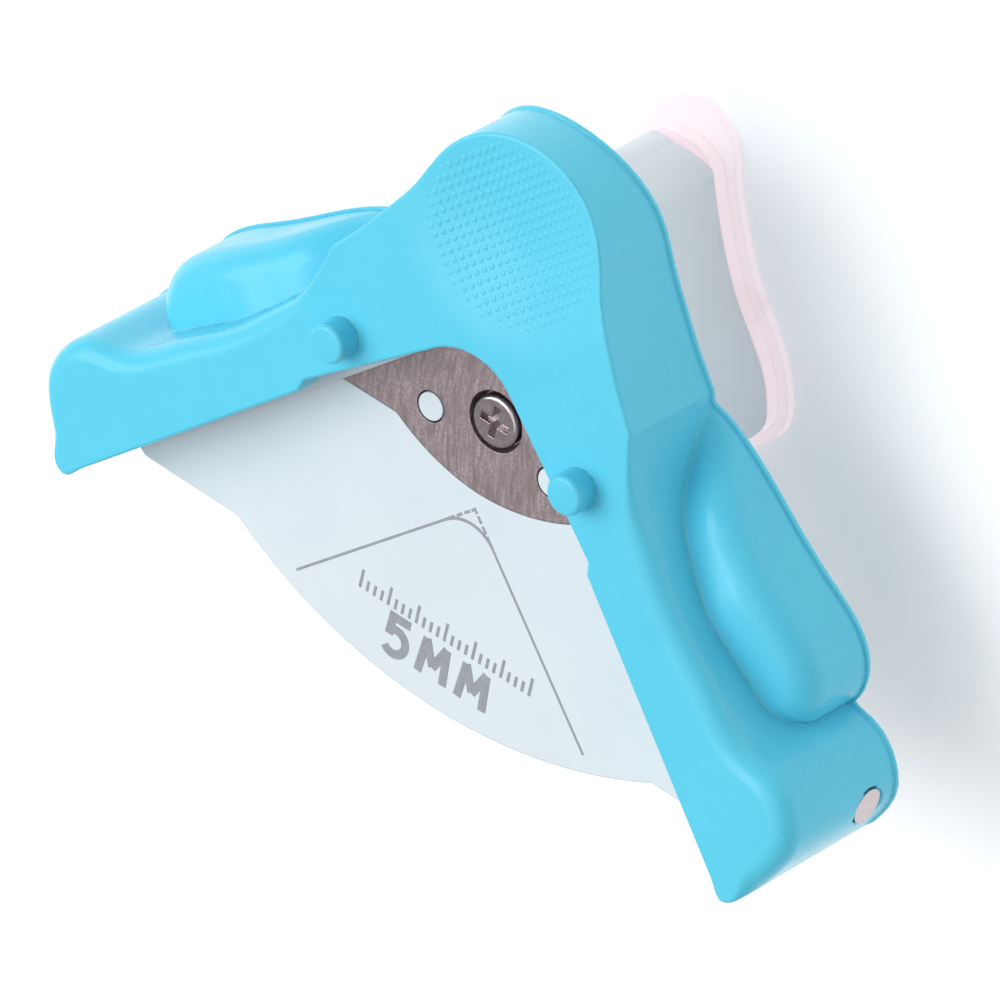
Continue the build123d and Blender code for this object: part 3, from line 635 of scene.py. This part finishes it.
class Nodes:
    """Short-hand for building one procedural material."""

    def __init__(self, name):
        self.material = bpy.data.materials.new(name)
        self.material.use_nodes = True
        self.tree = self.material.node_tree
        self.shader = self.tree.nodes["Principled BSDF"]
        self.place = self.add("ShaderNodeTexCoord").outputs["Object"]

    def add(self, kind, **values):
        """A node with its settings."""
        node = self.tree.nodes.new(kind)
        for key, value in values.items():
            setattr(node, key, value)
        return node

    def link(self, source, target):
        """Joins an output socket to an input."""
        self.tree.links.new(source, target)

    def set(self, **values):
        """Constants on the shader's own sockets."""
        for key, value in values.items():
            self.shader.inputs[key.replace("_", " ")].default_value = value

    def noise(self, scale, detail=3.0, roughness=0.55, stretch=None, turn=0.0):
        """Noise, with scale in features per metre; stretch scales its axes."""
        node = self.add("ShaderNodeTexNoise")
        node.inputs["Scale"].default_value = scale
        node.inputs["Detail"].default_value = detail
        node.inputs["Roughness"].default_value = roughness
        source = self.place
        if stretch:
            mapping = self.add("ShaderNodeMapping")
            mapping.inputs["Scale"].default_value = stretch
            mapping.inputs["Rotation"].default_value = (0, 0, math.radians(turn))
            self.link(self.place, mapping.inputs["Vector"])
            source = mapping.outputs["Vector"]
        self.link(source, node.inputs["Vector"])
        return node.outputs["Fac"]

    def arcs(self, middle, scale):
        """Streaks along circles round a point in the row frame's plan."""
        flat = self.add("ShaderNodeVectorMath", operation="MULTIPLY")
        flat.inputs[1].default_value = (1, 1, 0)
        self.link(self.place, flat.inputs[0])
        away = self.add("ShaderNodeVectorMath", operation="DISTANCE")
        away.inputs[1].default_value = (middle[0], middle[1], 0)
        self.link(flat.outputs["Vector"], away.inputs[0])
        small = self.add("ShaderNodeVectorMath", operation="SCALE")
        small.inputs["Scale"].default_value = SWIRL_SQUEEZE
        self.link(self.place, small.inputs[0])
        joined = self.add("ShaderNodeCombineXYZ")
        self.link(away.outputs["Value"], joined.inputs["Z"])
        both = self.add("ShaderNodeVectorMath", operation="ADD")
        self.link(joined.outputs["Vector"], both.inputs[0])
        self.link(small.outputs["Vector"], both.inputs[1])
        node = self.add("ShaderNodeTexNoise")
        node.inputs["Scale"].default_value = scale
        node.inputs["Detail"].default_value = 5.0
        node.inputs["Roughness"].default_value = 0.6
        node.inputs["Distortion"].default_value = 0.6
        self.link(both.outputs["Vector"], node.inputs["Vector"])
        return node.outputs["Fac"]

    def spread(self, value, low, high, from_low=0.3, from_high=0.7):
        """Value remapped to a range."""
        node = self.add("ShaderNodeMapRange")
        node.inputs["From Min"].default_value = from_low
        node.inputs["From Max"].default_value = from_high
        node.inputs["To Min"].default_value = low
        node.inputs["To Max"].default_value = high
        self.link(value, node.inputs["Value"])
        return node.outputs["Result"]

    def blend(self, fac, a, b):
        """Colour between a and b; either may be a socket."""
        node = self.add("ShaderNodeMix", data_type="RGBA")
        self.link(fac, node.inputs[0])
        for socket, value in ((node.inputs[6], a), (node.inputs[7], b)):
            if isinstance(value, tuple):
                socket.default_value = value
            else:
                self.link(value, socket)
        return node.outputs[2]

    def bump(self, heights, edge=0.0):
        """Bump from (height socket, depth in metres) pairs, on rounded edges if edge is given."""
        normal = None
        if edge:
            bevel = self.add("ShaderNodeBevel", samples=6)
            bevel.inputs["Radius"].default_value = edge
            normal = bevel.outputs["Normal"]
        for height, depth in heights:
            node = self.add("ShaderNodeBump")
            node.inputs["Strength"].default_value = 1.0
            node.inputs["Distance"].default_value = depth
            self.link(height, node.inputs["Height"])
            if normal:
                self.link(normal, node.inputs["Normal"])
            normal = node.outputs["Normal"]
        self.link(normal, self.shader.inputs["Normal"])


def plastic(name, light, dark, rough, grain=0.000004, edge=0.00025, **values):
    """Moulded plastic: slight mottling, fine mould texture and a little wear in its gloss."""
    n = Nodes(name)
    n.link(n.blend(n.spread(n.noise(45, 4), 0, 1), dark, light), n.shader.inputs["Base Color"])
    n.link(n.spread(n.noise(320, 5), rough - 0.05, rough + 0.06), n.shader.inputs["Roughness"])
    n.bump([(n.noise(4200, 2), grain)], edge)
    n.set(**values)
    return n.material


def steel(name, light, dark, rough, stretch=(1, 1, 1), swirl=None, streak=700):
    """Ground or rolled steel with fine streaks: straight, or arcs round the swirl's middle."""
    grain, edge = 0.000012, 0.0001
    n = Nodes(name)
    streaks = n.arcs(swirl, streak) if swirl else n.noise(streak, 6, 0.7, stretch)
    speckle = n.noise(3800, 3, 0.6)
    tone = n.blend(n.spread(speckle, 0, 1, 0.35, 0.65), dark, light)
    shade = n.blend(n.spread(streaks, 0, 1, 0.35, 0.65), dark, tone)
    n.link(shade, n.shader.inputs["Base Color"])
    n.link(n.spread(streaks, rough - 0.07, rough + 0.08), n.shader.inputs["Roughness"])
    n.bump([(streaks, grain), (speckle, grain * 0.5)], edge)
    n.set(Metallic=1.0)
    return n.material


def make_materials():
    """One material for each kind of surface, by name."""
    made = {
        "blue": plastic("lever_blue", srgb(95, 210, 238), srgb(91, 206, 236), 0.26, 0.000002,
                        edge=0, Specular_IOR_Level=0.32),
        "white": plastic("base_white", srgb(223, 233, 239), srgb(217, 228, 235), 0.42),
        "grey": plastic("housing_grey", srgb(237, 243, 248), srgb(230, 237, 243), 0.50, 0.000006),
        "natural": plastic("carrier_natural", srgb(225, 220, 205), srgb(214, 208, 192), 0.45),
        # the cover's emission is a painted glow: it lights the clear plastic as if light shone
        # through it
        "clear": plastic("cover_clear_painted_glow", srgb(255, 242, 246), srgb(252, 236, 242), 0.15, 0.000002,
                         Alpha=0.62, IOR=1.49, Emission_Color=(1.0, 0.9, 0.94, 1),
                         Emission_Strength=0.2),
        "plate": steel("die_plate_steel", srgb(200, 184, 187), srgb(158, 144, 147), 0.42,
                       swirl=(0.05, 0.004), streak=2600),
        "punch": steel("punch_steel", srgb(170, 168, 168), srgb(140, 138, 138), 0.25, (1, 1, 0.1)),
        "sheet": steel("bracket_steel", srgb(186, 186, 184), srgb(160, 160, 158), 0.35,
                       (0.15, 1, 1)),
        "screw": steel("screw_steel", srgb(214, 202, 206), srgb(186, 174, 178), 0.18),
        "pin": steel("pin_steel", srgb(214, 204, 206), srgb(196, 186, 188), 0.2, (1, 0.15, 0.15)),
        "spring": steel("spring_wire", srgb(190, 190, 194), srgb(160, 160, 166), 0.25),
    }
    ink = Nodes("guide_ink")
    wear = ink.noise(900, 4, 0.7)
    colour = ink.blend(ink.spread(wear, 0, 1), srgb(162, 165, 174), srgb(144, 148, 158))
    ink.link(colour, ink.shader.inputs["Base Color"])
    ink.set(Roughness=0.5)
    made["ink"] = ink.material
    return made


NODE_FINISH = {
    "bed": "white", "guide_frame": "white", "housing": "grey", "chip_cover": "clear",
    "die_plate": "plate", "punch": "punch", "punch_bracket": "sheet", "bracket_rivets": "sheet",
    "punch_carrier": "natural", "die_plate_screw": "screw", "guide_frame_screws": "screw",
    "housing_screws": "screw", "hinge_pin_left": "pin", "hinge_pin_right": "pin",
    "carrier_pin": "pin", "cover_hinge_pin": "pin", "punch_spring_left": "spring",
    "punch_spring_right": "spring", "lever_spring_left": "spring", "lever_spring_right": "spring",
    "lever": "blue",
}


def paint(thing, material):
    """Puts one material in every slot of an object."""
    if not thing.material_slots:
        thing.data.materials.append(material)
    for place in thing.material_slots:
        place.material = material


# ---- springs --------------------------------------------------------------------------------
LEVER_SPRING_PUSH = (1.09 * MM, -1.99 * MM)     # y and z that a spring's top moves, lever down
PUNCH_SPRING_PUSH = (0.0, -3.0 * MM)


def make_coil(node, push, material):
    """Stand-in for a CAD spring: a copy of its shape, hung on the base; push is not used."""
    coil = bpy.data.objects.new(node + "_coil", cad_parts[node].data.copy())
    bpy.context.scene.collection.objects.link(coil)
    paint(coil, material)
    push = Vector((0.0, *push))
    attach(coil, "base")
    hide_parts(node)
    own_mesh(coil)


# ---- stage ----------------------------------------------------------------------------------
FLOOR_HALF = 1.5
WORLD_STRENGTH = 0.37
LIGHTS = (                  # name, place, width and power
    ("key", (-0.65, 0.15, 1.05), 1.0, 9.6),
    ("top", (0.0, 0.1, 1.2), 1.4, 5.2),
)


def make_floor():
    """Large plain pale floor."""
    half = FLOOR_HALF
    mesh = bpy.data.meshes.new("floor")
    corners = [(-half, -half, 0), (half, -half, 0), (half, half, 0), (-half, half, 0)]
    mesh.from_pydata(corners, [], [(0, 1, 2, 3)])
    floor = bpy.data.objects.new("floor", mesh)
    bpy.context.scene.collection.objects.link(floor)
    n = Nodes("floor_pale")
    n.link(n.blend(n.spread(n.noise(6, 2), 0, 1), srgb(250, 250, 250), srgb(248, 248, 249)),
           n.shader.inputs["Base Color"])
    n.set(Roughness=0.7, Emission_Color=(1, 1, 1, 1), Emission_Strength=0.22)
    paint(floor, n.material)


def make_lights():
    """Even white surroundings, a large soft light from the left and another overhead."""
    world = bpy.data.worlds.new("studio")
    world.use_nodes = True
    background = world.node_tree.nodes["Background"]
    background.inputs["Color"].default_value = (1, 1, 1, 1)
    background.inputs["Strength"].default_value = WORLD_STRENGTH
    bpy.context.scene.world = world
    bpy.context.scene.view_settings.view_transform = "Standard"
    for name, place, size, power in LIGHTS:
        data = bpy.data.lights.new(name, "AREA")
        data.shape = "SQUARE"
        data.size = size
        data.energy = power
        light = bpy.data.objects.new(name, data)
        light.location = place
        light.rotation_euler = (-Vector(place)).to_track_quat("-Z", "Y").to_euler()
        bpy.context.scene.collection.objects.link(light)


# ---- build ----------------------------------------------------------------------------------
ARM = Plan(lever_outline(), closed=False)
POD = Plan(pod_outline(), closed=True)
POD_SPINE = spline([            # height of a pod's top by distance along the arm
    (-8, -5.2), (-1, -4.4), (1.2, -4.1), (5.2, -1.6), (9, 0.7), (14, 1.7), (18, 2.3), (22, 2.1),
    (30, 0.9), (36, -0.4),
])

make_camera()
finish = make_materials()
for node, look in NODE_FINISH.items():
    paint(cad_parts[node], finish[look])

lever_skin = make_lever()
paint(lever_skin, finish["blue"])
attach(lever_skin, "lever")
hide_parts("lever")

thumb_grip = make_thumb_grip()
paint(thumb_grip, finish["blue"])
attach(thumb_grip, "lever")

printed_guide = make_print()
paint(printed_guide, finish["ink"])
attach(printed_guide, "base")

for side in ("left", "right"):
    make_coil("lever_spring_" + side, LEVER_SPRING_PUSH, finish["spring"])
    make_coil("punch_spring_" + side, PUNCH_SPRING_PUSH, finish["spring"])

make_floor()
make_lights()
